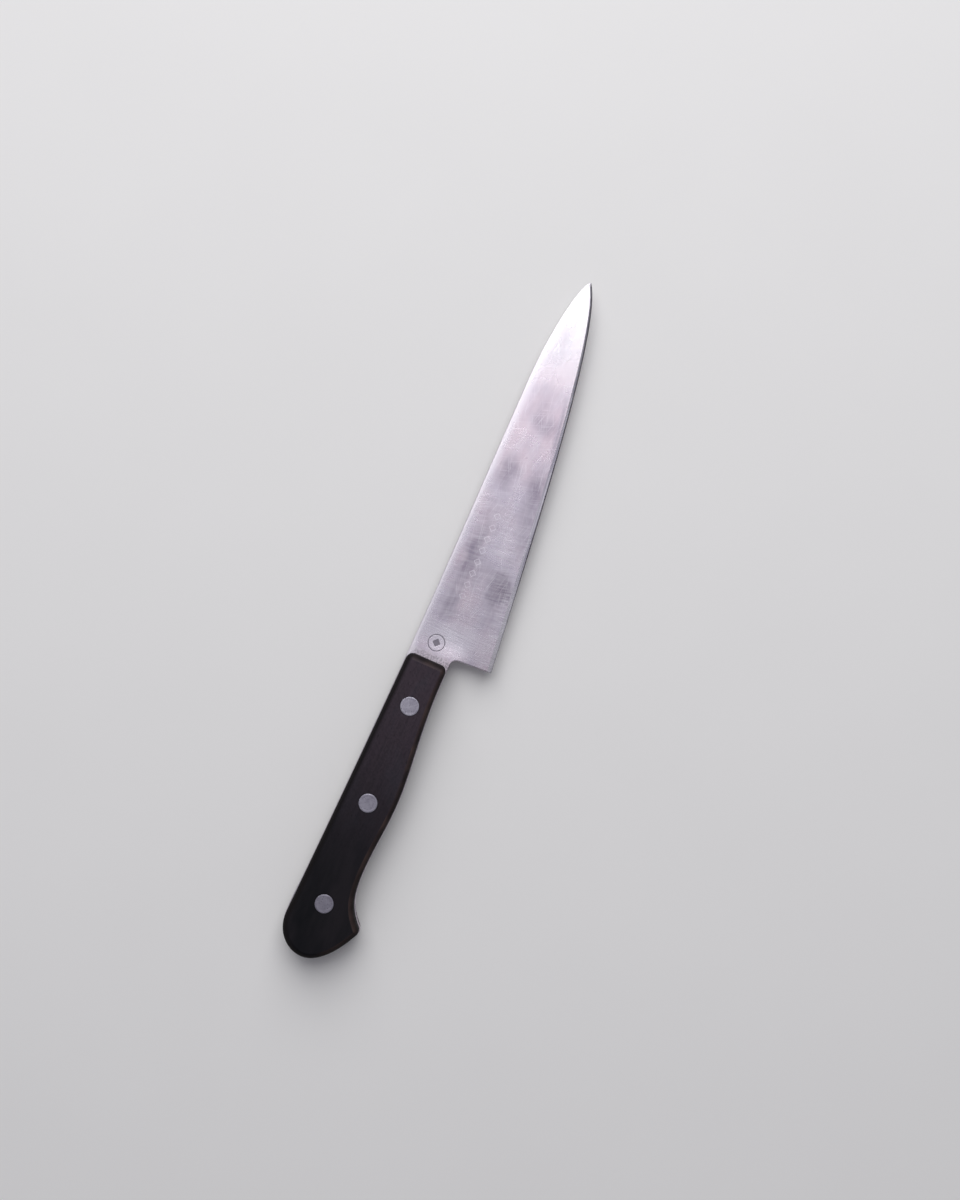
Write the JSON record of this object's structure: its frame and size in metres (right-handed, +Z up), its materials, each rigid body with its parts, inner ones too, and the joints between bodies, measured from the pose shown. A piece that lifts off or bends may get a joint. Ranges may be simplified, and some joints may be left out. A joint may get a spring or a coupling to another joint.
{
  "type": "boning knife",
  "caption": "Boning knife with a pointed, shallowly curved blade, square heel, full tang and flat dark handle scales held by flush round rivets.",
  "frame": {"origin": "centre of the whole knife's box, at its bottom face: the plane of the left scale's outer face, which the knife lies on", "axes": "+X along the knife from the butt to the tip, +Y from the edge to the spine, +Z up, square to the side of the blade"},
  "size_m": [0.272, 0.034, 0.015],
  "materials": {
    "blade_steel": "fine satin, ground across the blade, lightly worn",
    "scale_wood": "resin-soaked dark laminated wood, satin",
    "rivet_alloy": "dull satin"
  },
  "bodies": {
    "root": {"blade_and_tang": "blade_steel", "right_scale": "scale_wood", "left_scale": "scale_wood", "front_rivet_sleeve": "rivet_alloy", "front_rivet_pin": "rivet_alloy", "middle_rivet_sleeve": "rivet_alloy", "middle_rivet_pin": "rivet_alloy", "rear_rivet_sleeve": "rivet_alloy", "rear_rivet_pin": "rivet_alloy"}
  },
  "joints": []
}
